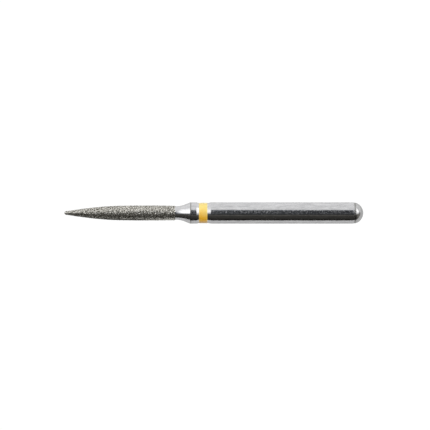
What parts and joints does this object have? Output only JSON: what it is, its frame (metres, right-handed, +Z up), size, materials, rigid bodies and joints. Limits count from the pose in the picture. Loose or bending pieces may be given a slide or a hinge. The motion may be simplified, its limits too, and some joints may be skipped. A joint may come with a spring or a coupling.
{
  "type": "dental bur",
  "caption": "Flame-shaped dental bur: a diamond-coated head on a steel shank with a coloured grit ring, for a friction-grip handpiece.",
  "frame": {"origin": "on the axis of the bur, halfway along the plain shank that a handpiece chuck grips", "axes": "+X along the bur from the cutting tip to the domed shank end, +Z up; the bur is round about X"},
  "size_m": [0.0224, 0.0016, 0.0016],
  "materials": {
    "steel": "ground shank, polished neck",
    "diamond_grit": "rough grit bonded in nickel",
    "ring_lacquer": "glossy lacquer"
  },
  "bodies": {
    "root": {"blank": "steel", "diamond_coating": "diamond_grit", "colour_ring": "ring_lacquer"}
  },
  "joints": []
}
